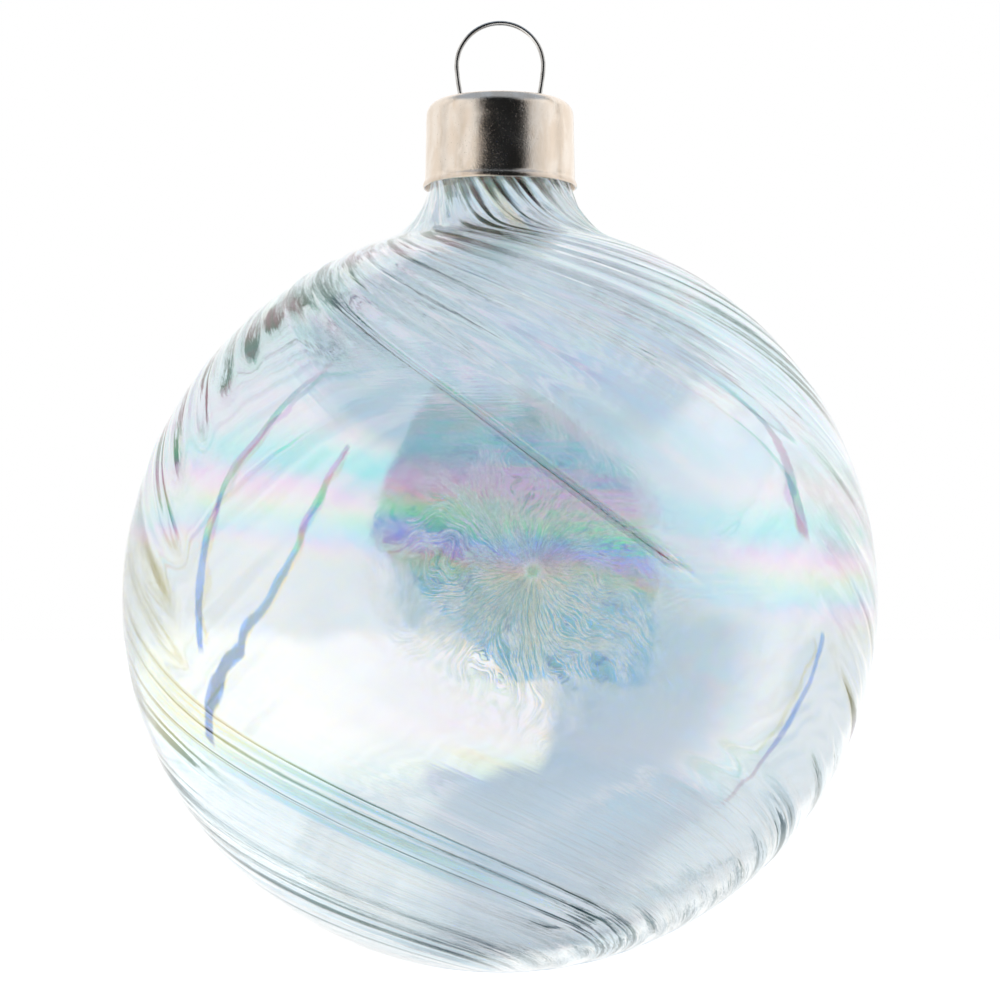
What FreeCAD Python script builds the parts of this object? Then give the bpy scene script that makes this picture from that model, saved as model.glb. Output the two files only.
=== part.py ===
import FreeCAD, Part
import math
import os

from FreeCAD import Vector

# Hanging glass ball ornament, in millimetres, +Z up: a hollow ball with a neck,
# a sheet cap over the neck, and a wire loop with two spring legs inside the neck.
# Origin: the inside of the wire loop's crown, where a hook or thread bears.
# The loop lies in the XZ plane; the front faces -Y, so +X is on the right.

os.makedirs("parts", exist_ok=True)

# ---- Blown glass ball ----
BALL_R = 40.0            # outer radius at the equator
BALL_CENTRE = Vector(0, 0, -61.7)
BOTTOM_DEPTH = 39.3      # equator to the lowest point, slightly less than BALL_R
WALL = 1.0               # glass thickness around the ball
WALL_BOTTOM = 1.5        # glass thickness at the lowest point
LOWER_STEPS = 16         # spans of the spline through the lower half
NECK_R = 7.35            # outer radius of the neck inside the cap
NECK_BORE_R = 6.25       # radius of the neck's bore
NECK_RIM_Z = -8.98       # top end of the neck
NECK_SWEEP_R = 8.5       # concave sweep from the neck into the shoulder
RIM_ROUND = 0.45         # rounding of the neck's rim

# ---- Stamped cap ----
SHEET = 0.30             # sheet thickness
CAP_TOP_Z = -8.4         # upper face of the cap
CAP_BOTTOM_Z = -17.7     # lowest edge of the skirt
CAP_R_TOP = 7.92         # outer radius of the skirt just below the top edge
CAP_R_BOTTOM = 8.07      # outer radius just above the hem
CAP_EDGE = 1.55          # outside radius of the drawn top edge
HEM_R = 8.30             # outer radius of the flared hem
HEM_H = 0.85             # height of the flare
HEM_EDGE_RISE = 0.08     # height of the hem's outer edge above its inner edge
HEM_MID_OUT = 0.05       # how far the flare has moved out at its middle point
HEM_OUT_MID = 0.52       # middle point's height on the outer face, as a share of HEM_H
HEM_IN_MID = 0.50        # the same on the inner face
WIRE_HOLE_R = 0.50       # two punched holes for the wire
DRILL_LENGTH = 3.0       # cutter for those holes, centred on the cap's upper face

# ---- Spring wire hanger ----
WIRE_R = 0.25            # wire radius
LOOP_R = 4.67            # radius of the loop's centre line
LOOP_LOWER_R = 25.0      # flatter curve below the widest point
LOOP_TURN = 5.0          # degrees below the widest point where that starts
BEND_Z = -9.35           # the bend under the cap, where the legs flex
BEND_GAP = 0.02          # gap between the loop's cut end and the leg's round end
LEG_LENGTH = 12.2        # length of each spring leg
LEG_SPLAY = 4.2          # degrees that each leg leans outwards
LEG_CURVE_R = 110.0      # slight outward curve along the leg


# ---- Helpers ----
def polar(centre, radius, degrees):
    """The point at an angle from +X towards +Z, in the XZ plane."""
    angle = math.radians(degrees)
    return centre + Vector(radius * math.cos(angle), 0, radius * math.sin(angle))


def on_side(point, side):
    """A point of the right half, kept (side 1) or mirrored to the left (side -1)."""
    return Vector(side * point.x, 0, point.z)


def line(start, end):
    return Part.LineSegment(start, end).toShape()


def arc_through(start, middle, end):
    return Part.Arc(start, middle, end).toShape()


def arc(centre, radius, first, last):
    """Arc in the XZ plane between two polar angles in degrees."""
    return arc_through(*(polar(centre, radius, angle)
                         for angle in (first, (first + last) / 2, last)))


def revolve(edges):
    """Turn a closed XZ profile around the Z axis."""
    return Part.Face(Part.Wire(edges)).revolve(Vector(0, 0, 0), Vector(0, 0, 1), 360)


def bent_wire(start, centre, degrees):
    """Round wire bent in the XZ plane from start; positive turns take +Z towards +X."""
    along = Vector(0, 1, 0).cross(start - centre)
    disc = Part.Face(Part.Wire([Part.Circle(start, along, WIRE_R).toShape()]))
    return disc.revolve(centre, Vector(0, 1, 0), degrees)


def save(name, shape):
    if len(shape.Solids) == 1:
        shape = shape.Solids[0]
    if not shape.isValid():
        raise SystemExit(name + " isn't valid")
    shape.exportStep("parts/" + name + ".step")


# ---- Glass ball with its neck ----
def glass_outline(ball_r, depth, neck_r, sweep_r):
    """One face of the glass: the neck's foot, the edges from there down, the lowest point."""
    # The sweep touches the ball on the line between their centres.
    reach = ball_r + sweep_r
    rise = math.degrees(math.acos((neck_r + sweep_r) / reach))
    sweep_centre = polar(BALL_CENTRE, reach, rise)

    # The slightly shallow lower half, as a spline through points of an ellipse.
    angles = [k * math.pi / 2 / LOWER_STEPS for k in range(LOWER_STEPS)]
    points = [BALL_CENTRE + Vector(ball_r * math.cos(angle), 0, -depth * math.sin(angle))
              for angle in angles]
    bottom = BALL_CENTRE - Vector(0, 0, depth)
    lower = Part.BSplineCurve()
    lower.interpolate(Points=points + [bottom],
                      InitialTangent=Vector(0, 0, -1),
                      FinalTangent=Vector(-1, 0, 0))

    edges = [
        arc(sweep_centre, sweep_r, 180, 180 + rise),
        arc(BALL_CENTRE, ball_r, rise, 0),
        lower.toShape(),
    ]
    return polar(sweep_centre, sweep_r, 180), edges, bottom


def make_glass_ball():
    outer_foot, outer_edges, outer_bottom = glass_outline(
        BALL_R, BOTTOM_DEPTH, NECK_R, NECK_SWEEP_R)
    inner_foot, inner_edges, inner_bottom = glass_outline(
        BALL_R - WALL, BOTTOM_DEPTH - WALL_BOTTOM, NECK_BORE_R, NECK_SWEEP_R + WALL)

    round_z = NECK_RIM_Z - RIM_ROUND
    outer_round = Vector(NECK_R - RIM_ROUND, 0, round_z)
    inner_round = Vector(NECK_BORE_R + RIM_ROUND, 0, round_z)
    return revolve([
        line(Vector(NECK_R, 0, round_z), outer_foot),
        *outer_edges,
        line(outer_bottom, inner_bottom),
        *reversed(inner_edges),
        line(inner_foot, Vector(NECK_BORE_R, 0, round_z)),
        arc(inner_round, RIM_ROUND, 180, 90),
        line(polar(inner_round, RIM_ROUND, 90), polar(outer_round, RIM_ROUND, 90)),
        arc(outer_round, RIM_ROUND, 90, 0),
    ])


# ---- Centre line of the wire, right half ----
LOOP_CENTRE = Vector(0, 0, WIRE_R - LOOP_R)
JOINT = polar(LOOP_CENTRE, LOOP_R, -LOOP_TURN)     # crown arc meets the flatter curve
LOWER_CENTRE = polar(JOINT, LOOP_LOWER_R, 180 - LOOP_TURN)
BEND_ANGLE = math.degrees(math.asin((LOWER_CENTRE.z - BEND_Z) / LOOP_LOWER_R))
BEND = polar(LOWER_CENTRE, LOOP_LOWER_R, -BEND_ANGLE)


# ---- Stamped cap ----
def make_cap():
    edge_centre = Vector(CAP_R_TOP - CAP_EDGE, 0, CAP_TOP_Z - CAP_EDGE)
    inside_edge = CAP_EDGE - SHEET
    hem_top_z = CAP_BOTTOM_Z + HEM_H
    top = Vector(0, 0, CAP_TOP_Z)
    underside = Vector(0, 0, CAP_TOP_Z - SHEET)
    skirt_out = Vector(CAP_R_BOTTOM, 0, hem_top_z)
    skirt_in = Vector(CAP_R_BOTTOM - SHEET, 0, hem_top_z)
    hem_out = Vector(HEM_R, 0, CAP_BOTTOM_Z + HEM_EDGE_RISE)
    hem_in = Vector(HEM_R - SHEET, 0, CAP_BOTTOM_Z)
    middle_r = CAP_R_BOTTOM + HEM_MID_OUT
    hem_out_middle = Vector(middle_r, 0, CAP_BOTTOM_Z + HEM_H * HEM_OUT_MID)
    hem_in_middle = Vector(middle_r - SHEET, 0, CAP_BOTTOM_Z + HEM_H * HEM_IN_MID)
    cap = revolve([
        line(top, polar(edge_centre, CAP_EDGE, 90)),
        arc(edge_centre, CAP_EDGE, 90, 0),
        line(polar(edge_centre, CAP_EDGE, 0), skirt_out),
        arc_through(skirt_out, hem_out_middle, hem_out),
        line(hem_out, hem_in),
        arc_through(hem_in, hem_in_middle, skirt_in),
        line(skirt_in, polar(edge_centre, inside_edge, 0)),
        arc(edge_centre, inside_edge, 0, 90),
        line(polar(edge_centre, inside_edge, 90), underside),
        line(underside, top),
    ])

    # The holes stand where the wire passes the middle of the sheet.
    drop = LOWER_CENTRE.z - (CAP_TOP_Z - SHEET / 2)
    hole_x = LOWER_CENTRE.x + math.sqrt(LOOP_LOWER_R ** 2 - drop ** 2)
    for side in (-1, 1):
        foot = Vector(side * hole_x, 0, CAP_TOP_Z - DRILL_LENGTH / 2)
        cap = cap.cut(Part.makeCylinder(WIRE_HOLE_R, DRILL_LENGTH, foot))
    return cap


# ---- Spring wire ----
def make_hanger_loop():
    """Crown arc and the two flatter curves, cut off just above the bends."""
    end_angle = BEND_ANGLE - math.degrees((WIRE_R + BEND_GAP) / LOOP_LOWER_R)
    crown = bent_wire(on_side(JOINT, -1), LOOP_CENTRE, 180 + 2 * LOOP_TURN)
    lower_arcs = [bent_wire(on_side(JOINT, side), on_side(LOWER_CENTRE, side),
                            side * (end_angle - LOOP_TURN))
                  for side in (1, -1)]
    return crown.fuse(lower_arcs).removeSplitter()


def make_spring_leg(side):
    """Leg from the bend down, leaning and curving outwards, with both ends round."""
    turn = math.degrees(LEG_LENGTH / LEG_CURVE_R)
    curve_centre = polar(BEND, LEG_CURVE_R, LEG_SPLAY)
    tip = polar(curve_centre, LEG_CURVE_R, 180 + LEG_SPLAY + turn)
    body = bent_wire(on_side(BEND, side), on_side(curve_centre, side), -side * turn)
    ends = [Part.makeSphere(WIRE_R, on_side(point, side)) for point in (BEND, tip)]
    return body.fuse(ends).removeSplitter()


save("glass_ball", make_glass_ball())
save("cap", make_cap())
save("hanger_loop", make_hanger_loop())
save("spring_leg_left", make_spring_leg(-1))
save("spring_leg_right", make_spring_leg(1))
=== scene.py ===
# Hanging ball of iridescent blown glass with twisted ribs, a plated metal cap and a wire hanger.
# Z is up, the hanging axis is the Z axis, the front faces -Y and +X is on the right seen from
# there. Shapes are worked out in millimetres and built in metres.
import bpy
import math
import numpy as np
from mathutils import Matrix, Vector


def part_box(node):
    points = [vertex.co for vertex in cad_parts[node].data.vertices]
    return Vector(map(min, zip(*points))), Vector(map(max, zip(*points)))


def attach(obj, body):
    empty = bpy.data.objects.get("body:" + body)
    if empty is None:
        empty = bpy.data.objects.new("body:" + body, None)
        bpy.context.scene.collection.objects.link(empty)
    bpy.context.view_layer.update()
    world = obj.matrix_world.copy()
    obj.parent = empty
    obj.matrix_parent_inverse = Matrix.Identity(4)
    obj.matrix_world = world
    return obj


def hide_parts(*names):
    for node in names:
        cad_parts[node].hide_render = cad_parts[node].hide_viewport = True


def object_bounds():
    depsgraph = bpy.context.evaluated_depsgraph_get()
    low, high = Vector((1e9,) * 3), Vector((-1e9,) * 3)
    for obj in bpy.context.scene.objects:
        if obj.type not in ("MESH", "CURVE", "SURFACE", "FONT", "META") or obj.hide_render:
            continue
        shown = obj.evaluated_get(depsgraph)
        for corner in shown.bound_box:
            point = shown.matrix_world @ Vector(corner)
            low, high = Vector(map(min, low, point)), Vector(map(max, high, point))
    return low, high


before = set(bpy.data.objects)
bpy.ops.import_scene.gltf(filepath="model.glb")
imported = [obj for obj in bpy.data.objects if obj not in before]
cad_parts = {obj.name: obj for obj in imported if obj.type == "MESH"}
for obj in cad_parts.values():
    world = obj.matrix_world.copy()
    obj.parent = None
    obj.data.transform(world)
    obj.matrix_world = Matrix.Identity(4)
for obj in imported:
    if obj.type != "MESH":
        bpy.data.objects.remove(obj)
cad_lo, cad_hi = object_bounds()
scene = bpy.context.scene
MM = 0.001

glass_lo, glass_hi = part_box("glass_ball")
cap_lo, cap_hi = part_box("cap")


# --------------------------------------------------------------------------
# shader nodes
# --------------------------------------------------------------------------
class Value:
    """Output socket of a shader node. Adding, subtracting or multiplying makes a math node."""
    def __init__(self, socket):
        self.socket = socket
        self.tree = socket.id_data

    def __add__(self, other):
        return calc("ADD", self, other)

    def __radd__(self, other):
        return calc("ADD", other, self)

    def __sub__(self, other):
        return calc("SUBTRACT", self, other)

    def __rsub__(self, other):
        return calc("SUBTRACT", other, self)

    def __mul__(self, other):
        return calc("MULTIPLY", self, other)


def plug(socket, value):
    """Link a Value to an input socket, or set the socket to a plain number or tuple."""
    if isinstance(value, Value):
        socket.id_data.links.new(value.socket, socket)
    elif isinstance(value, tuple) and len(value) == 3 and len(socket.default_value) == 4:
        socket.default_value = value + (1.0,)
    else:
        socket.default_value = value


def node(tree, kind, inputs, output=0, **properties):
    """Add a node, fill its inputs (keyed by index or name) and return one output."""
    made = tree.nodes.new(kind)
    for key, value in properties.items():
        setattr(made, key, value)
    for key, value in inputs.items():
        plug(made.inputs[key], value)
    return Value(made.outputs[output])


def calc(operation, *operands):
    tree = next(v.tree for v in operands if isinstance(v, Value))
    return node(tree, "ShaderNodeMath", dict(enumerate(operands)), operation=operation)


def vector_calc(operation, vector, inputs):
    return node(vector.tree, "ShaderNodeVectorMath", {0: vector, **inputs}, operation=operation)


def remap(value, low, high, out_low=0.0, out_high=1.0, kind="LINEAR"):
    inputs = {"Value": value, "From Min": low, "From Max": high,
              "To Min": out_low, "To Max": out_high}
    return node(value.tree, "ShaderNodeMapRange", inputs, interpolation_type=kind)


def step(value, zero, one):
    """Smooth step that is 0 at `zero` and 1 at `one`; it falls where `one` is the smaller."""
    return remap(value, zero, one, kind="SMOOTHSTEP")


def window(value, first, second):
    """Product of two smooth steps, each given as (zero, one)."""
    return step(value, *first) * step(value, *second)


def mix(factor, first, second):
    """Mix of two colours."""
    return node(factor.tree, "ShaderNodeMix", {0: factor, 6: first, 7: second}, 2,
                data_type="RGBA")


def mix_number(factor, first, second):
    return node(factor.tree, "ShaderNodeMix", {0: factor, 2: first, 3: second},
                data_type="FLOAT")


def noise(vector, scale, detail=2.0, rough=0.5, distort=0.0):
    inputs = {"Vector": vector, "Scale": scale, "Detail": detail, "Roughness": rough,
              "Distortion": distort}
    return node(vector.tree, "ShaderNodeTexNoise", inputs, "Fac")


def split(vector):
    separate = vector.tree.nodes.new("ShaderNodeSeparateXYZ")
    plug(separate.inputs[0], vector)
    return [Value(socket) for socket in separate.outputs]


def combine(x, y, z):
    return node(x.tree, "ShaderNodeCombineXYZ", {0: x, 1: y, 2: z})


def grey_ramp(factor, stops):
    """Colour ramp of greys; stops are (position, level)."""
    made = factor.tree.nodes.new("ShaderNodeValToRGB")
    elements = made.color_ramp.elements
    while len(elements) < len(stops):
        elements.new(0.5)
    for element, (position, level) in zip(elements, stops):
        element.position = position
        element.color = (level, level, level, 1.0)
    plug(made.inputs[0], factor)
    return Value(made.outputs[0])


def bump(height):
    """Surface normal from a relief in millimetres."""
    inputs = {"Strength": 1.0, "Distance": MM, "Height": height}
    return node(height.tree, "ShaderNodeBump", inputs)


def position_mm(tree):
    position = node(tree, "ShaderNodeTexCoord", {}, "Object")
    return vector_calc("SCALE", position, {"Scale": 1000.0})


def output(shader, kind="ShaderNodeOutputMaterial"):
    plug(shader.tree.nodes.new(kind).inputs[0], shader)


def new_material(name):
    made = bpy.data.materials.new(name)
    made.use_nodes = True
    made.node_tree.nodes.clear()
    return made, made.node_tree


# --------------------------------------------------------------------------
# meshes and curves
# --------------------------------------------------------------------------
def mesh_object(name, verts, faces, mats, mat_index=None, smooth_faces=True):
    mesh = bpy.data.meshes.new(name)
    mesh.from_pydata([tuple(v) for v in verts], [], [tuple(f) for f in faces])
    for mat in mats:
        mesh.materials.append(mat)
    if mat_index is not None:
        mesh.polygons.foreach_set("material_index", np.asarray(mat_index, dtype=np.int32))
    if smooth_faces:
        mesh.polygons.foreach_set("use_smooth", np.ones(len(mesh.polygons), dtype=bool))
    mesh.update()
    return link_mesh(name, mesh)


def link_mesh(name, mesh):
    made = bpy.data.objects.new(name, mesh)
    scene.collection.objects.link(made)
    return made


def round_axis(radius, angle, z):
    """Points round the Z axis; angle 0 faces the front (-Y) and grows towards +X."""
    return np.stack(np.broadcast_arrays(radius * np.sin(angle), -radius * np.cos(angle), z),
                    axis=-1)


def turned_faces(rows, cols):
    """Quads of a grid closed round the axis, then a fan at each end to a pole.

    The poles of the first and last row are the two vertices that follow the grid.
    """
    i = np.arange(cols)
    after = (i + 1) % cols
    faces = []
    for j in range(rows - 1):
        here, ahead = j * cols + i, j * cols + after
        faces += np.stack([here, here + cols, ahead + cols, ahead], axis=1).tolist()
    pole, last = rows * cols, (rows - 1) * cols
    faces += [(pole, int(a), int(b)) for a, b in zip(i, after)]
    faces += [(pole + 1, int(last + b), int(last + a)) for a, b in zip(i, after)]
    return faces


def periodic_noise(turn, seed, freqs, power=1.0):
    """Smooth noise that repeats every turn."""
    rng = np.random.RandomState(seed)
    total = np.zeros_like(turn)
    for freq in freqs:
        amp = rng.uniform(0.4, 1.0) / freq ** power
        total += amp * np.cos(2 * np.pi * (freq * turn + rng.uniform()))
    return total


def smooth(x, zero, one):
    """Smooth step on arrays: 0 at `zero`, 1 at `one`."""
    t = np.clip((x - zero) / (one - zero), 0, 1)
    return t * t * (3 - 2 * t)


def wrap(angle):
    """The same angle between -pi and pi."""
    return (angle + np.pi) % (2 * np.pi) - np.pi


def running_total(steps):
    return np.concatenate([[0], np.cumsum(steps)])


def length_along(points):
    return running_total(np.hypot(*np.diff(points, axis=0).T))


# --------------------------------------------------------------------------
# glass ball, profile: neck, concave sweep, round upper half, stretched lower half
# --------------------------------------------------------------------------
BALL_R = glass_hi.x / MM
EQ_Z = -61.7                                  # height of the ball's equator
DEPTH = EQ_Z - glass_lo.z / MM                # equator to the lowest point
RIM_Z = glass_hi.z / MM
NECK_R, BORE_R, FILLET = 7.35, 6.25, 8.5
WALL, WALL_BOTTOM, RIM_ROUND = 1.0, 1.5, 0.45
RIB_ROOM, RIB_ROOM_BOTTOM = 0.12, 0.05        # outer wall set in, for its ribs to stand out
NECK_POINTS, SWEEP_POINTS, UPPER_POINTS, LOWER_POINTS = 60, 80, 500, 500
ROWS_OUT, ROWS_IN, RIM_STEPS = 150, 128, 6
ROW_LENGTH, ROW_TWIST = 1.05, 0.055           # relative weights of distance and twist in a row

N_RIBS = 16
RIB_START = math.radians(-20)                 # azimuth of turn 0 at the rim
# tangent of the ribs' lean from the meridian: on the neck, and against degrees from the top
NECK_LEAN = 0.62
LEAN = ([0, 30, 45, 70, 95, 113, 139, 150, 172, 180],
        [1.25, 1.30, 1.34, 1.18, 1.55, 1.95, 1.45, 1.1, 0.0, 0.0])
LEAN_GROWS = (8.2, 17.0)                      # radii between which the neck's lean gives way
TWIST_MIN_R = 2.5                             # stops the twist running away at the pole


def profile(ball_radius, depth, neck_radius, fillet):
    """Points (radius, z) from the neck's rim down to the bottom pole."""
    sweep_r = neck_radius + fillet
    reach = ball_radius + fillet
    sweep_z = EQ_Z + math.sqrt(reach ** 2 - sweep_r ** 2)
    join_r = sweep_r * ball_radius / reach
    join_z = EQ_Z + (sweep_z - EQ_Z) * ball_radius / reach
    points = []
    top = RIM_Z - RIM_ROUND
    for k in range(NECK_POINTS):
        t = k / NECK_POINTS
        points.append((neck_radius, top + (sweep_z - top) * t))
    sweep_angle = math.asin((sweep_z - join_z) / fillet)
    for k in range(SWEEP_POINTS):
        a = sweep_angle * k / SWEEP_POINTS
        points.append((sweep_r - fillet * math.cos(a), sweep_z - fillet * math.sin(a)))
    join_angle = math.atan2(join_z - EQ_Z, join_r)
    for k in range(UPPER_POINTS):
        a = join_angle * (1 - k / UPPER_POINTS)
        points.append((ball_radius * math.cos(a), EQ_Z + ball_radius * math.sin(a)))
    for k in range(LOWER_POINTS + 1):
        a = (k / LOWER_POINTS) * math.pi / 2
        points.append((ball_radius * math.cos(a), EQ_Z - depth * math.sin(a)))
    points = np.array(points)
    points[-1, 0] = 0.0
    return points


def theta_of(points):
    """Angle from the top, seen from the ball's centre: 0 at the top, pi at the bottom."""
    return np.arctan2(points[:, 0], points[:, 1] - EQ_Z)


def lean(radius, theta):
    on_ball = np.interp(np.degrees(theta), *LEAN)
    upper = NECK_LEAN + (on_ball - NECK_LEAN) * smooth(radius, *LEAN_GROWS)
    return np.where(theta < np.pi / 2, upper, on_ball)


def twist_along(points):
    """Azimuth in radians gained by a rib from the rim down to each profile point."""
    delta = np.diff(points, axis=0)
    length = np.hypot(delta[:, 0], delta[:, 1])
    mid = (points[1:] + points[:-1]) / 2
    gain = lean(mid[:, 0], theta_of(mid)) * length / np.maximum(mid[:, 0], TWIST_MIN_R)
    return running_total(gain)


# one twist, against the share of the profile's length, so that the ribs of both walls line up
reference = profile(BALL_R, DEPTH, NECK_R, FILLET)
reference_twist = twist_along(reference)
reference_share = length_along(reference)
reference_share /= reference_share[-1]


def resample(points, rows):
    """Rows spaced evenly in a mix of distance and twist, so no quad is sheared much."""
    length = length_along(points)
    twist = np.interp(length / length[-1], reference_share, reference_twist)
    measure = running_total(np.hypot(np.diff(length) / ROW_LENGTH, np.diff(twist) / ROW_TWIST))
    at = np.linspace(0, measure[-1], rows)
    spaced = np.stack([np.interp(at, measure, points[:, 0]),
                       np.interp(at, measure, points[:, 1])], axis=1)
    return spaced, np.interp(at, measure, twist)


def rib_turn(x, y, z):
    """Turn coordinate (0..1) of the rib that passes through a point on the ball."""
    theta = math.atan2(math.hypot(x, y), z - EQ_Z)
    on_neck = np.arange(len(reference)) < NECK_POINTS
    k = np.argmin(np.abs(theta_of(reference) - theta) + on_neck * 9)
    return ((math.atan2(x, -y) - RIB_START - reference_twist[k]) / (2 * math.pi)) % 1.0


# --------------------------------------------------------------------------
# glass ball, relief of the walls. Turns name a rib; degrees are measured from the top.
# --------------------------------------------------------------------------
UPPER_CORD = rib_turn(-11.5, -30.9, -37.6)
LOWER_CORD = rib_turn(-10.5, -30.5, -85.2)
ribbon_turn = rib_turn(21.3, -18.1, -33.1)
left_bundle = rib_turn(-21.4, -15.4, -91.8)

# the lower cord and its two companions:
# offset and width in turns, height in mm, half-span of extra mesh columns, their number
LOWER_CORDS = [(0.0, 0.0052, 0.62, 0.013, 22),
               (0.021, 0.0040, 0.40, 0.008, 10),
               (-0.018, 0.0036, 0.34, 0.008, 10)]
UPPER_CORD_SPAN, UPPER_CORD_COLUMNS = 0.0075, 22
EVEN_COLUMNS, MIN_COLUMN_GAP = 480, 0.00022

# (turn, width): ribs that run further down the shoulder, and ribs gathered at the foot
RIBBONS = [(ribbon_turn + offset, width) for offset, width in
           ((0, 0.045), (-0.08, 0.06), (-0.19, 0.06), (0.36, 0.09), (0.55, 0.05))]
BUNDLES = [(left_bundle, 0.022)] + [(LOWER_CORD + offset, width) for offset, width in
           ((0, 0.028), (0.22, 0.030), (0.43, 0.026), (0.60, 0.040), (0.80, 0.022))]

# folded knots: azimuth and degrees from the top, size in mm
KNOTS = [(24.0, 147.0, 2.4), (150.0, 128.0, 2.2), (-128.0, 122.0, 2.0)]
KNOT_MM_PER_DEGREE = 0.698

# relief in mm: everywhere, added on the shoulder, added at the foot
OUTER_RIBS, OUTER_LINES = (0.05, 0.21, 0.10), (0.003, 0.026, 0.012)
INNER_LINES = (0.012, 0.050, 0.028)
# inner ribs: everywhere, added on the flanks, added on the shoulder, added at the foot
INNER_BASE, INNER_FLANK, INNER_SHOULDER, INNER_FOOT = 0.10, 0.44, 0.37, 0.62
# share of the relief lost on the calm middle, and kept on the neck
OUTER_CALM, INNER_CALM = 0.75, 0.60
OUTER_NECK, INNER_NECK = 0.80, 0.55
POLE_FADE_R = 7.0                             # relief dies out inside this radius
RELIEF_STARTS = (16.6, 19.0)                  # depths below z = 0 where it sets in on the neck


def ridge_line(turn, centre, width):
    """A narrow rounded ridge along one rib."""
    distance = np.abs((turn - centre + 0.5) % 1.0 - 0.5)
    return np.exp(-(distance / width) ** 2)


def ridge_lines(turn, table):
    return np.max([ridge_line(turn, centre, width) for centre, width in table], axis=0)


def ribs(turn):
    """The broad ribs and the fine drawn lines, each uneven in strength round the ball."""
    phase = turn * N_RIBS + 0.16 * periodic_noise(turn, 5, (1, 2, 3, 5))
    ridge = (0.5 + 0.5 * np.cos(2 * np.pi * phase)) ** 1.7
    between = (0.5 + 0.5 * np.cos(2 * np.pi * (phase + 0.46))) ** 3.5

    def strength(mean, spread, low, high, **wave):
        return np.clip(mean + spread * periodic_noise(turn, **wave), low, high)

    ridge_strength = strength(0.74, 0.42, low=0.25, high=1.5,
                              seed=11, freqs=(1, 2, 3, 4, 7), power=0.5)
    between_strength = strength(0.50, 0.40, low=0.05, high=1.2,
                                seed=17, freqs=(1, 2, 4, 5, 9), power=0.4)
    fine = periodic_noise(turn, 23, (34, 38, 43, 47, 52, 56, 61, 67, 74, 83, 95), 0.3) / 1.6
    fine_strength = strength(0.55, 0.5, low=0.05, high=1.3,
                             seed=31, freqs=(2, 3, 5, 6), power=0.3)
    return ridge * ridge_strength + between * between_strength, fine * fine_strength


def cords(turn, degrees):
    """Heavy cords of glass along the swirl: one above the equator, three side by side below."""
    upper = smooth(degrees, 24, 31) * (1 - smooth(degrees, 84, 86.5))
    lower = smooth(degrees, 88, 98) * (1 - smooth(degrees, 160, 166))
    # the upper cord starts wide and high and settles as it runs down
    width = 0.0021 + 0.0055 * (1 - smooth(degrees, 31, 48))
    height = 0.30 + 0.40 * (1 - smooth(degrees, 33, 44))
    total = height * ridge_line(turn, UPPER_CORD, width) * upper
    for offset, width, height, _, _ in LOWER_CORDS:
        total = total + height * ridge_line(turn, LOWER_CORD + offset, width) * lower
    return total


def knot(face, degrees, radius, azimuth, knot_degrees, size):
    """A slanted oval swelling with rippled folds."""
    across = wrap(face - math.radians(azimuth)) * radius
    down = (degrees - knot_degrees) * KNOT_MM_PER_DEGREE
    swell = np.exp(-((across + 0.5 * down) / (1.6 * size)) ** 2
                   - ((down - 0.35 * across) / (1.0 * size)) ** 2)
    folds = (np.sin(2.4 * across / size + 1.7 * down / size)
             * np.cos(3.3 * down / size + 0.6 * across))
    return swell * (0.45 + 0.22 * folds)


def wall_height(turn, theta, radius, face, inside):
    """Displacement along the wall's normal in mm, outwards positive. face: azimuth, 0 in front."""
    degrees = np.degrees(theta)
    # the broad middle is calm in front and behind; the folds are heaviest on the left flank
    signed = wrap(face)
    off_front = np.degrees(np.abs(signed))
    flank = (smooth(off_front, 46, 64) * (1 - smooth(off_front, 128, 150))
             * np.where(signed < 0, 1.0, 0.45))
    middle = smooth(degrees, 50, 66) * (1 - smooth(degrees, 108, 122))
    calm = middle * (1 - flank)
    # shoulder ribs end 40 degrees down, those of a ribbon up to 34 degrees lower
    ends = 40 + 34 * ridge_lines(turn, RIBBONS)
    shoulder = 1 - smooth(degrees, ends - 12, ends + 14)
    foot = (smooth(degrees, 100, 128) * (1 - smooth(degrees, 158, 176))
            * (0.10 + 0.90 * ridge_lines(turn, BUNDLES)))
    below_neck = smooth(radius, 7.4, 10.0)
    main, fine = ribs(turn)

    def by_zone(base, on_shoulder, at_foot):
        return base + on_shoulder * shoulder + at_foot * foot

    if not inside:
        height = main * by_zone(*OUTER_RIBS) + fine * by_zone(*OUTER_LINES)
        return height * (1 - OUTER_CALM * calm) * (OUTER_NECK + (1 - OUTER_NECK) * below_neck)
    base = (INNER_BASE + INNER_FLANK * flank) * (1 - smooth(degrees, 108, 124))
    height = main * by_zone(base, INNER_SHOULDER, INNER_FOOT) * (1 - INNER_CALM * calm)
    height = height + fine * by_zone(*INNER_LINES) * (1 - INNER_CALM * calm)
    height = height + cords(turn, degrees)
    for place in KNOTS:
        height = height + knot(face, degrees, radius, *place)
    return -height * (INNER_NECK + (1 - INNER_NECK) * below_neck)


def columns():
    """Turn coordinates of the mesh columns: even, with extra ones across the heavy cords."""
    parts = [np.arange(EVEN_COLUMNS) / EVEN_COLUMNS]
    dense = [(UPPER_CORD, UPPER_CORD_SPAN, UPPER_CORD_COLUMNS)]
    dense += [(LOWER_CORD + offset, span, count) for offset, _, _, span, count in LOWER_CORDS]
    for centre, span, count in dense:
        parts.append((centre + np.linspace(-span, span, count)) % 1.0)
    turns = np.sort(np.concatenate(parts))
    return turns[np.concatenate([[True], np.diff(turns) > MIN_COLUMN_GAP])]


TURNS = columns()


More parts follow.
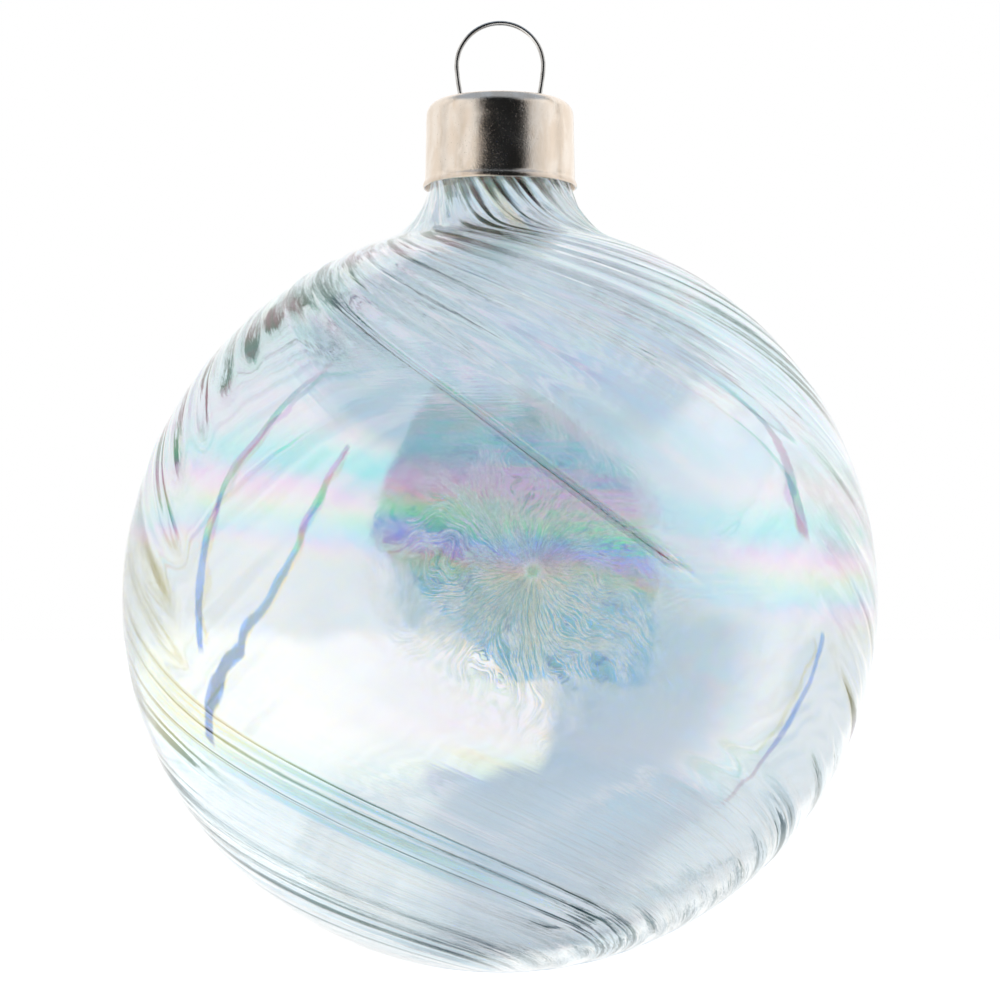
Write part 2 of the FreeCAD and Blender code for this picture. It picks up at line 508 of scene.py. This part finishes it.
def wall_surface(points, twist, inside):
    """Grid of points: a row for each profile point, a column for each turn coordinate."""
    delta = np.gradient(points, axis=0)
    normal = np.stack([-delta[:, 1], delta[:, 0]], axis=1)
    normal /= np.maximum(np.linalg.norm(normal, axis=1), 1e-9)[:, None]
    turn, theta = np.meshgrid(TURNS, theta_of(points))
    radius, z = points[:, 0][:, None], points[:, 1][:, None]
    face = 2 * np.pi * turn + twist[:, None] + RIB_START
    height = wall_height(turn, theta, np.repeat(radius, len(TURNS), axis=1), face, inside)
    height = height * np.clip(radius / POLE_FADE_R, 0, 1) * smooth(-z, *RELIEF_STARTS)
    return round_axis(radius + normal[:, 0][:, None] * height, face,
                      z + normal[:, 1][:, None] * height)


def rim_rings():
    """Rings of the rounded rim, from the bore over to the neck's outside."""
    middle, half = (NECK_R + BORE_R) / 2, (NECK_R - BORE_R) / 2
    rings = []
    for k in range(1, RIM_STEPS):
        a = math.pi * k / RIM_STEPS
        rings.append(round_axis(middle - half * math.cos(a), 2 * np.pi * TURNS + RIB_START,
                                RIM_Z - RIM_ROUND + RIM_ROUND * math.sin(a)))
    return rings


def glass_mesh(mats):
    """One closed shell: inner wall from its pole up, rounded rim, outer wall down to its pole."""
    out_points, out_twist = resample(
        profile(BALL_R - RIB_ROOM, DEPTH - RIB_ROOM_BOTTOM, NECK_R, FILLET), ROWS_OUT)
    in_points, in_twist = resample(
        profile(BALL_R - WALL, DEPTH - WALL_BOTTOM, BORE_R, FILLET + WALL), ROWS_IN)
    outer = wall_surface(out_points, out_twist, inside=False)
    inner = wall_surface(in_points, in_twist, inside=True)
    # the last row of each wall is its pole
    rows = [*inner[-2::-1], *rim_rings(), *outer[:-1]]
    n_rows, cols = len(rows), len(TURNS)
    poles = [(wall[-1].mean(0) * MM)[None] for wall in (inner, outer)]
    verts = np.concatenate([np.concatenate(rows) * MM, *poles])
    # the inner material reaches half-way over the rim
    rows_inner = len(in_points) - 1 + RIM_STEPS // 2
    mat_index = np.concatenate([np.repeat(np.where(np.arange(n_rows - 1) < rows_inner, 1, 0), cols),
                                np.ones(cols, int), np.zeros(cols, int)])
    made = mesh_object("glass_ball_swirl", verts, turned_faces(n_rows, cols), mats, mat_index)

    # swirl: a point on the unit circle that names the rib, and the length along it in cm
    out_length, in_length = length_along(out_points) / 10, length_along(in_points) / 10
    lengths = [*in_length[-2::-1], *[0.0] * (RIM_STEPS - 1), *out_length[:-1]]
    turn_angle = 2 * np.pi * TURNS
    circle = np.stack([np.cos(turn_angle), np.sin(turn_angle)], axis=1)
    swirl = [np.concatenate([circle, np.full((cols, 1), length)], axis=1) for length in lengths]
    swirl.append(np.array([[0, 0, in_length[-1]], [0, 0, out_length[-1]]]))
    attribute = made.data.attributes.new("swirl", "FLOAT_VECTOR", "POINT")
    attribute.data.foreach_set("vector", np.concatenate(swirl).astype(np.float32).ravel())
    return made


# --------------------------------------------------------------------------
# glass material: clear glass under a thin film. Heights are in mm above the equator.
# --------------------------------------------------------------------------
# (height, film thickness in nanometres)
FILM = [(-16, 196), (-8.4, 195), (1.0, 199), (2.8, 238), (3.7, 265), (5.3, 293), (7.3, 337),
        (9.1, 374), (10.4, 395), (12.7, 439), (14.0, 465), (15.2, 494), (16.4, 517),
        (18.6, 548), (21, 560), (27, 565)]
FILM_SCALE = 700.0                            # thickness that the ramp's white stands for

CRAZE_SPOTS, CRAZE_BALL_R = 4, 40             # spots round the ball, radius to unroll it by


def crazing(x, y, height):
    """Fine feathers that spread from a spot on each of four sides of the ball."""
    turn = calc("ARCTAN2", x, y * -1.0) * (0.5 / math.pi)
    side = (turn - 0.012) * CRAZE_SPOTS + 0.5
    sector = calc("FLOOR", side)
    # mm across and up from the spot; the spots stand at different heights
    across = ((calc("FRACT", side + 4.0) - 0.5)
              * (2 * math.pi * CRAZE_BALL_R / CRAZE_SPOTS))
    up = height - (2.5 + calc("SINE", sector * 2.1) * 5.0)
    bend = noise(combine(across * 0.11, up * 0.11, sector), scale=1.0) - 0.5
    radius = calc("SQRT", across * across + up * up)
    angle = calc("ARCTAN2", up, across) + bend * 1.7
    # noise quick to change with the angle and slow with the radius makes the feathers
    spokes = combine(calc("COSINE", angle) * 15.0, calc("SINE", angle) * 15.0,
                     radius * 0.10 + sector * 5.0)
    spread = noise(spokes, scale=1.6, detail=4.0, rough=0.72)
    feathers = step(calc("ABSOLUTE", spread - 0.5), zero=0.055, one=0.0)
    return feathers * window(radius, (19.0, 3.0), (0.0, 1.6))


def glass_material(name, inside):
    made, tree = new_material(name)
    position = position_mm(tree)
    x, y, z = split(position)
    height = z - EQ_Z
    rib_x, rib_y, along = split(node(tree, "ShaderNodeAttribute", {}, "Vector",
                                     attribute_name="swirl"))
    seed = 3.0 if inside else 11.0

    def on_ribs(across, lengthwise):
        """Noise coordinate: a larger `across` makes thinner lines."""
        return combine(rib_x * across, rib_y * across, lengthwise)

    # drawn lines in the glass: thin across the ribs, long along them
    lines = noise(on_ribs(9.0, along * 0.22 + seed), scale=2.6, detail=3.0, rough=0.62)
    hairs = noise(on_ribs(38.0, along * 0.5 + seed), scale=1.6, rough=0.6)
    # where the glass is drawn: shoulder and foot
    drawn = step(height, zero=14.0, one=27.0) + step(height, zero=-12.0, one=-24.0)

    # film in level bands, wandering a little, tilted to one side and pulled along the ribs
    wander = noise(vector_calc("MULTIPLY", position, {1: (1.0, 1.0, 1.4)}),
                   scale=0.045, distort=0.6) - 0.5
    feather = lines - 0.5
    patches = noise(vector_calc("MULTIPLY", position, {1: (1.0, 1.0, 1.5)}),
                    scale=0.085, distort=0.9) - 0.5
    level = (height + x * 0.14) + (wander * 6.0 + feather * 1.6)
    low, high = FILM[0][0], FILM[-1][0]
    stops = [((h - low) / (high - low), nanometres / FILM_SCALE) for h, nanometres in FILM]
    film = (grey_ramp(remap(level, low, high), stops) * FILM_SCALE
            + (patches * 200.0) * step(height, zero=12.0, one=20.0))
    film = film * mix_number(drawn, 1.0, 1.188)
    film = film + (lines - 0.5) * mix_number(drawn, 10.0, 75.0)
    film = film + (hairs - 0.5) * mix_number(drawn, 12.0, 26.0)

    craze = crazing(x, y, height)
    # barbs standing square to the upper cord; `beside` is 1 on the cord itself
    cord_angle = 2 * math.pi * UPPER_CORD
    beside = rib_x * math.cos(cord_angle) + rib_y * math.sin(cord_angle)
    barb = noise(on_ribs(5.0, along * 26.0), scale=1.0, rough=0.55)
    barbs = (((barb - 0.5) * step(beside, zero=0.972, one=0.998))
             * window(height, (30.0, 22.0), (-3.0, 1.0)))
    # nanometres that the crazing takes off and the barbs add
    film = film + craze * -28.0
    film = film + barbs * 110.0

    # relief in mm of each pattern: where the glass is plain, and where it is drawn
    relief = ((hairs - 0.5) * mix_number(drawn, 0.002, 0.008)
              + (lines - 0.5) * mix_number(drawn, 0.003, 0.034))
    relief = relief + (craze * 0.012 + barbs * 0.020)

    # tint: near clear, blue-grey in the crazing, warm and dark lines where drawn, dark cord
    cord = (step(beside, zero=0.999905, one=0.999960)
            * window(height, (33.0, 30.0), (2.4, 3.2)))
    tint = mix(craze * 0.85, (0.985, 0.993, 0.998), (0.55, 0.66, 0.76))
    warm = step(lines, zero=0.50, one=0.64) * (drawn * 0.85)
    tint = mix(warm, tint, (0.99, 0.965, 0.945))
    fine = noise(on_ribs(21.0, along * 0.16 + (seed + 2.0)), scale=2.2, rough=0.7)
    fine = (step(calc("ABSOLUTE", fine - 0.5), zero=0.016, one=0.003)
            * step(lines, zero=0.44, one=0.56))
    tint = mix(fine * (drawn * 0.75), tint, (0.66, 0.64, 0.62))
    tint = mix(cord * 0.9, tint, (0.42, 0.46, 0.50))
    # soft blue patches that follow the ribs on the shoulder
    soft = noise(on_ribs(2.3, along * 0.34 + 5.0), scale=1.3)
    soft = step(soft, zero=0.40, one=0.60) * window(height, (9.0, 17.0), (39.0, 33.0))
    tint = mix(soft, tint, (0.925, 0.962, 0.996))
    if not inside:
        # painted reflection of the warm cap: one slanted streak with a painted dark edge, at the
        # front of the neck
        off = x - ((-1.2 + feather * 0.9) + (43.2 - height) * 0.64)
        here = step(y, zero=-3.0, one=-5.0) * window(height, (36.0, 39.5), (45.2, 41.8))
        cap_reflection = here * step(calc("ABSOLUTE", off), zero=0.95, one=0.55)
        tint = mix(cap_reflection, tint, (1.0, 0.84, 0.56))
        # painted dark edge beside the painted reflection of the cap
        reflection_dark_edge = here * step(calc("ABSOLUTE", off - 1.25), zero=0.46, one=0.12)
        tint = mix(reflection_dark_edge, tint, (0.48, 0.56, 0.64))

    # film index: plain and drawn glass, then the neck, then the foot
    film_index = mix_number(drawn, 2.40, 2.02)
    film_index = mix_number(step(height, zero=32.0, one=38.0), film_index, 1.66)
    film_index = mix_number(step(height, zero=-11.0, one=-22.0), film_index, 1.80)
    output(node(tree, "ShaderNodeBsdfPrincipled", {
        "Base Color": tint, "Roughness": 0.0, "IOR": 1.5, "Transmission Weight": 1.0,
        "Normal": bump(relief), "Thin Film Thickness": film, "Thin Film IOR": film_index}))
    return made


glass = glass_mesh([glass_material("iridescent_glass_outer", inside=False),
                    glass_material("iridescent_glass_inner", inside=True)])
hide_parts("glass_ball")
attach(glass, "ball")


# --------------------------------------------------------------------------
# cap: one drawn cup of thin plated sheet with a rolled lower edge and two holes
# --------------------------------------------------------------------------
CAP_TOP = cap_hi.z / MM
CAP_BOTTOM = cap_lo.z / MM
CAP_R_TOP, CAP_R_LOW, CAP_HEM_R = 7.92, 8.07, cap_hi.x / MM
CAP_EDGE, SHEET = 1.55, 0.30                  # radius of the top edge, sheet thickness
CAP_COLUMNS = 256
HEM_HEIGHT = 0.95
FLAT_RADII = (0.0, 1.2, 2.4, 3.6, 4.8, 5.7)
MARK_Z, MARK_WIDTH, MARK_HEIGHT = -10.75, 0.16, 0.030   # faint ring round the wall
HOLE_X, HOLE_R, HOLE_SEGMENTS = 4.0407, 0.50, 40
CUTTER_ABOVE, CUTTER_BELOW = 0.4, 0.8         # reach of the hole cutters about the top
SHARP_ANGLE = 42


def cap_profile():
    """Points (radius, z): outside from the top's centre, round the hem, and back inside."""
    points = [(r, CAP_TOP) for r in FLAT_RADII]
    edge_r, edge_z = CAP_R_TOP - CAP_EDGE, CAP_TOP - CAP_EDGE
    for k in range(13):
        a = math.pi / 2 * (1 - k / 12)
        points.append((edge_r + CAP_EDGE * math.cos(a), edge_z + CAP_EDGE * math.sin(a)))
    hem_z = CAP_BOTTOM + HEM_HEIGHT
    for k in range(1, 19):
        t = k / 18
        z = edge_z + (hem_z - edge_z) * t
        mark = MARK_HEIGHT * math.exp(-((z - MARK_Z) / MARK_WIDTH) ** 2)
        points.append((CAP_R_TOP + (CAP_R_LOW - CAP_R_TOP) * t + mark, z))
    # rolled lower edge: radius, height above the cap's bottom
    inner_r = CAP_R_LOW - SHEET
    hem = [(CAP_R_LOW + 0.03, 0.80), (CAP_R_LOW + 0.12, 0.62), (CAP_HEM_R - 0.03, 0.40),
           (CAP_HEM_R, 0.20), (CAP_HEM_R - 0.03, 0.06), (CAP_HEM_R - 0.12, 0.0),
           (CAP_HEM_R - 0.24, 0.04), (CAP_HEM_R - 0.30, 0.20),
           (inner_r + 0.08, 0.62), (inner_r, HEM_HEIGHT)]
    points += [(r, CAP_BOTTOM + up) for r, up in hem]
    for k in range(1, 9):
        t = k / 8
        points.append((inner_r + (CAP_R_TOP - CAP_R_LOW) * t, hem_z + (edge_z - hem_z) * t))
    inner_edge = CAP_EDGE - SHEET
    for k in range(1, 9):
        a = math.pi / 2 * k / 8
        points.append((edge_r + inner_edge * math.cos(a), edge_z + inner_edge * math.sin(a)))
    points += [(r, CAP_TOP - SHEET) for r in reversed(FLAT_RADII)]
    return np.array(points)


def hole_cutter(mat):
    """Two upright cylinders through the cap's top."""
    verts, faces = [], []
    count = HOLE_SEGMENTS
    for side in (-1, 1):
        base = len(verts)
        for z in (CAP_TOP + CUTTER_ABOVE, CAP_TOP - CUTTER_BELOW):
            for j in range(count):
                a = 2 * math.pi * j / count
                verts.append(((side * HOLE_X + HOLE_R * math.cos(a)) * MM,
                              HOLE_R * math.sin(a) * MM, z * MM))
        top = list(range(base, base + count))
        low = list(range(base + count, base + 2 * count))
        faces += [tuple(top), tuple(reversed(low))]
        faces += [(top[j], low[j], low[(j + 1) % count], top[(j + 1) % count])
                  for j in range(count)]
    return mesh_object("cap_holes", verts, faces, [mat], smooth_faces=False)


def cap_mesh(mat):
    points = cap_profile()
    rows = points[1:-1]
    turn, z = np.meshgrid(np.arange(CAP_COLUMNS) / CAP_COLUMNS, rows[:, 1])
    # handled sheet: shallow waves and fine ripples round the wall, an uneven lower edge
    wave = (periodic_noise(turn, 41, (2, 3, 5, 8, 13), 0.6) * 0.016
            + periodic_noise(turn, 43, (21, 29, 37), 0.2) * 0.0022)
    wave = wave + periodic_noise(turn + z * 0.021, 47, (3, 5, 9, 14), 0.5) * 0.007
    radius = rows[:, 0][:, None] + wave * smooth(-z, 9.3, 10.6)
    z = z + smooth(-z, 13.5, 17.3) * (periodic_noise(turn, 53, (2, 3, 5, 9, 14), 0.5) * 0.05)
    grid = round_axis(radius, 2 * np.pi * turn, z).reshape(-1, 3) * MM
    poles = [[0, 0, points[0, 1] * MM], [0, 0, points[-1, 1] * MM]]
    body = mesh_object("cap_cut", np.concatenate([grid, poles]),
                       turned_faces(len(rows), CAP_COLUMNS), [mat])
    cutter = hole_cutter(mat)
    cut = body.modifiers.new("holes", "BOOLEAN")
    cut.operation = "DIFFERENCE"
    cut.solver = "EXACT"
    cut.object = cutter
    depsgraph = bpy.context.evaluated_depsgraph_get()
    mesh = bpy.data.meshes.new_from_object(body.evaluated_get(depsgraph))
    for used in (body, cutter):
        bpy.data.objects.remove(used)
    mesh.name = "cap_sheet"
    mesh.polygons.foreach_set("use_smooth", np.ones(len(mesh.polygons), dtype=bool))
    mesh.set_sharp_from_angle(angle=math.radians(SHARP_ANGLE))
    return link_mesh("cap_sheet", mesh)


def metal(tree, colour, roughness, relief):
    output(node(tree, "ShaderNodeBsdfPrincipled", {
        "Base Color": colour, "Metallic": 1.0, "Roughness": roughness, "Normal": bump(relief)}))


def cap_material():
    """Warm nickel plate: mottled, pitted and darker on the hem."""
    made, tree = new_material("nickel_plate")
    position = position_mm(tree)
    x, y, z = split(position)
    grain = noise(position, scale=6.5, detail=3.0, rough=0.66)
    pits = step(noise(vector_calc("ADD", position, {1: (9.0, 4.0, 2.0)}), scale=5.2, rough=0.6),
                zero=0.60, one=0.78)
    mottle = noise(vector_calc("MULTIPLY", position, {1: (1.0, 1.0, 0.45)}),
                   scale=0.55, detail=3.0, rough=0.6, distort=0.4)
    # faint lines that run round the wall
    around = noise(combine(x * 0.12, y * 0.12, z * 7.0), scale=1.0)
    colour = mix(step(mottle, zero=0.35, one=0.68), (0.80, 0.685, 0.575), (0.885, 0.80, 0.715))
    colour = mix(pits * 0.30, colour, (0.50, 0.39, 0.31))
    hem = step(z, zero=CAP_BOTTOM + 0.9, one=CAP_BOTTOM + 0.1)
    colour = mix(hem * 0.35, colour, (0.55, 0.43, 0.34))
    roughness = remap(mottle, low=0.3, high=0.7, out_low=0.15, out_high=0.24) + pits * 0.15
    relief = (grain - 0.5) * 0.016 + (pits * -0.003 + (around - 0.5) * 0.004)
    metal(tree, colour, roughness, relief)
    return made


def wire_material():
    """Grey steel with dull patches and dark specks."""
    made, tree = new_material("spring_wire_steel")
    position = position_mm(tree)
    grain = noise(position, scale=6.0, detail=3.0, rough=0.6)
    dull = noise(position, scale=0.8)
    colour = mix(step(dull, zero=0.35, one=0.7), (0.66, 0.65, 0.635), (0.50, 0.485, 0.47))
    specks = step(grain, zero=0.58, one=0.72) * 0.4
    colour = mix(specks, colour, (0.33, 0.31, 0.30))
    roughness = remap(dull, low=0.3, high=0.7, out_low=0.16, out_high=0.30)
    metal(tree, colour, roughness, relief=(grain - 0.5) * 0.006)
    return made


plate, wire = cap_material(), wire_material()
cap = cap_mesh(plate)
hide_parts("cap")
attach(cap, "cap")
for name in ("hanger_loop", "spring_leg_left", "spring_leg_right"):
    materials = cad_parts[name].data.materials
    materials.clear()
    materials.append(wire)

# --------------------------------------------------------------------------
# floor: pale to the camera, a dim blue glow to everything else
# --------------------------------------------------------------------------
FLOOR_Z = cad_lo.z - 0.035                    # metres
FLOOR_HALF = 4


def floor_material():
    made, tree = new_material("pale_floor")
    diffuse = node(tree, "ShaderNodeBsdfDiffuse", {"Color": (0.82, 0.82, 0.82)})
    glow = node(tree, "ShaderNodeEmission", {"Color": (1.0, 1.0, 1.0), "Strength": 0.62})
    pale = node(tree, "ShaderNodeAddShader", {0: diffuse, 1: glow})
    blue = node(tree, "ShaderNodeEmission", {"Color": (0.60, 0.71, 0.78), "Strength": 1.0})
    to_camera = node(tree, "ShaderNodeLightPath", {}, "Is Camera Ray")
    output(node(tree, "ShaderNodeMixShader", {0: to_camera, 1: blue, 2: pale}))
    return made


corners = [(x * FLOOR_HALF, y * FLOOR_HALF, FLOOR_Z)
           for x, y in ((-1, -1), (1, -1), (1, 1), (-1, 1))]
floor = mesh_object("floor", corners, [(0, 1, 2, 3)], [floor_material()], smooth_faces=False)
floor.visible_transmission = False
floor.visible_glossy = False

# --------------------------------------------------------------------------
# world: a soft light tent that turns with the camera. Azimuth is in degrees from straight
# behind the camera, positive to the right; elevation is in degrees upwards.
# --------------------------------------------------------------------------
# lines that bound the dark opening, which lies on their left: azimuth, elevation to the same
OPENING = [(45, -60, 45, 80), (-39, 80, -39, -60), (-60, -21, 80, -21), (80, 62, -60, 62),
           (-40, 20, -3, -14), (48, 33, 22, 59)]
EDGE_SOFT = 0.8
# dark seams between the tent walls: azimuth, elevation to the same, half-width
SEAMS = [(-100, -12, -97, 64, 1.5), (-57, 39, -66, 8, 1.2), (-66, 8, -83, -12, 1.3),
         (-83, -12, -111, -24, 1.5), (105, 12, 118, 50, 2.4), (110, -8, 102, -44, 1.2)]
SEAM_SOFT = 0.4


def backdrop(right, up, ahead):
    """White tent ahead of the camera, blue-grey only right behind the ball."""
    across = (right - 0.024) * (1 / 0.105)
    upward = (up + 0.030) * (1 / 0.150)
    disc = step(calc("SQRT", across * across + upward * upward), zero=2.1, one=1.0)
    disc = disc * step(ahead, zero=0.0, one=0.3)
    blue = mix(step(up, zero=-0.068, one=-0.092), (0.28, 0.69, 0.93), (0.38, 0.53, 0.66))
    blue = mix(step(up, zero=0.03, one=0.06), blue, (0.38, 0.55, 0.66))
    right_side = step(right, zero=-0.092, one=-0.026)
    return mix(right_side * disc, (1.14, 1.13, 1.12), blue)


def tent_colour(tree):
    direction = node(tree, "ShaderNodeVectorTransform",
                     {0: node(tree, "ShaderNodeTexCoord", {}, "Generated")},
                     vector_type="VECTOR", convert_from="WORLD", convert_to="CAMERA")
    right, up, ahead = split(vector_calc("NORMALIZE", direction, {}))
    azimuth = calc("ARCTAN2", right, ahead * -1.0) * (180 / math.pi)
    elevation = calc("ARCSINE", up) * (180 / math.pi)

    # edges of the tent waver by a few degrees
    waver = combine(azimuth * 0.02, elevation * 0.02, 0.0)
    wavy_az = azimuth + (noise(waver, scale=2.2) - 0.5) * 9.0
    shifted = vector_calc("ADD", waver, {1: (7.3, 2.1, 4.4)})
    wavy_el = elevation + (noise(shifted, scale=2.2) - 0.5) * 9.0

    def panel(az0, az1, el0, el1, soft):
        return (window(wavy_az, (az0 - soft, az0 + soft), (az1 + soft, az1 - soft))
                * window(wavy_el, (el0 - soft, el0 + soft), (el1 + soft, el1 - soft)))

    def left_of(az0, el0, az1, el1):
        """1 on the left of a line, looking from its start to its end."""
        run, rise = az1 - az0, el1 - el0
        length = math.hypot(run, rise)
        distance = (wavy_az - az0) * (-rise / length) + (wavy_el - el0) * (run / length)
        return step(distance, zero=-EDGE_SOFT, one=EDGE_SOFT)

    def seam(az0, el0, az1, el1, half):
        run, rise = az1 - az0, el1 - el0
        length = math.hypot(run, rise)
        run, rise = run / length, rise / length
        from_az, from_el = wavy_az - az0, wavy_el - el0
        along = from_az * run + from_el * rise
        across = calc("ABSOLUTE", from_az * -rise + from_el * run)
        return (step(across, zero=half + SEAM_SOFT, one=half - SEAM_SOFT)
                * window(along, (-half, 0.0), (length + half, length)))

    colour = mix(step(ahead, zero=-0.45, one=0.05), (0.46, 0.44, 0.43),
                 backdrop(right, up, ahead))
    # dim ceiling, and a dim floor on the right
    colour = mix(step(wavy_el, zero=43.0, one=49.0), colour, (0.40, 0.47, 0.56))
    low_right = step(wavy_el, zero=-40.0, one=-48.0) * step(right, zero=-0.32, one=-0.06)
    colour = mix(low_right, colour, (0.28, 0.36, 0.43))
    # tent walls: left, the brighter lower left, right, and lower right
    right_wall = mix(step(azimuth, zero=50, one=95), (0.72, 0.74, 0.76), (1.10, 1.09, 1.07))
    # azimuth from and to, elevation from and to, softness of the edges; colour
    for bounds, wall_colour in (((-160, -30, -62, 44, 4.0), (1.0, 0.99, 0.97)),
                                ((-152, 16, -50, -8, 3.0), (1.45, 1.44, 1.42)),
                                ((47, 140, -3, 46, 4.0), right_wall),
                                ((100, 150, -60, -6, 6.0), (0.80, 0.82, 0.84))):
        colour = mix(panel(*bounds), colour, wall_colour)
    # the dark opening that the camera looks through
    sides = [left_of(*line) for line in OPENING]
    opening = (sides[0] * sides[1]) * (sides[2] * sides[3])
    opening = opening * (sides[4] * sides[5])
    colour = mix(opening, colour, (0.012, 0.014, 0.016))
    seams = seam(*SEAMS[0])
    for line in SEAMS[1:]:
        seams = calc("MAXIMUM", seams, seam(*line))
    colour = mix(seams, colour, (0.02, 0.022, 0.025))
    # light that has wandered round inside the ball comes back dim and blue
    light_path = tree.nodes.new("ShaderNodeLightPath")
    deep = step(Value(light_path.outputs["Ray Depth"]), zero=4.05, one=5.05)
    deep_colour = mix(step(ahead, zero=-0.6, one=0.05), (0.10, 0.46, 0.66), (0.66, 0.77, 0.84))
    colour = mix(deep * 0.75, colour, deep_colour)
    return mix(Value(light_path.outputs["Is Camera Ray"]), colour, (1.0, 1.0, 1.0))


world = bpy.data.worlds.new("studio")
scene.world = world
world.use_nodes = True
world.node_tree.nodes.clear()
background = node(world.node_tree, "ShaderNodeBackground",
                  {"Color": tent_colour(world.node_tree), "Strength": 1.0})
output(background, "ShaderNodeOutputWorld")
world.cycles.sampling_method = "MANUAL"
world.cycles.sample_map_resolution = 256

# --------------------------------------------------------------------------
# camera in front, at the height of the ball's equator, aimed a little above it (metres)
# --------------------------------------------------------------------------
CAMERA_DISTANCE = 0.265                       # from the hanging axis
VIEW_WIDTH = 0.1069                           # width seen at the ball's centre
AIM_RISE = 0.0105
SENSOR_WIDTH = 36.0                           # millimetres

camera_data = bpy.data.cameras.new("camera")
camera = bpy.data.objects.new("camera", camera_data)
scene.collection.objects.link(camera)
scene.camera = camera
camera_data.sensor_width = SENSOR_WIDTH
camera_data.lens = SENSOR_WIDTH / (VIEW_WIDTH / CAMERA_DISTANCE)
camera_data.clip_start = 0.01
camera_data.clip_end = 20
eye = Vector((0, -CAMERA_DISTANCE, EQ_Z * MM))
aim = Vector((0, 0, EQ_Z * MM + AIM_RISE))
camera.location = eye
camera.rotation_mode = "QUATERNION"
camera.rotation_quaternion = (aim - eye).to_track_quat("-Z", "Y")

scene.view_settings.view_transform = "Standard"
scene.view_settings.look = "None"
cycles = scene.cycles
cycles.use_denoising = True
cycles.max_bounces = 18
cycles.transmission_bounces = 16
cycles.glossy_bounces = 10
cycles.transparent_max_bounces = 12
cycles.caustics_refractive = True
cycles.caustics_reflective = True
cycles.blur_glossy = 0.0
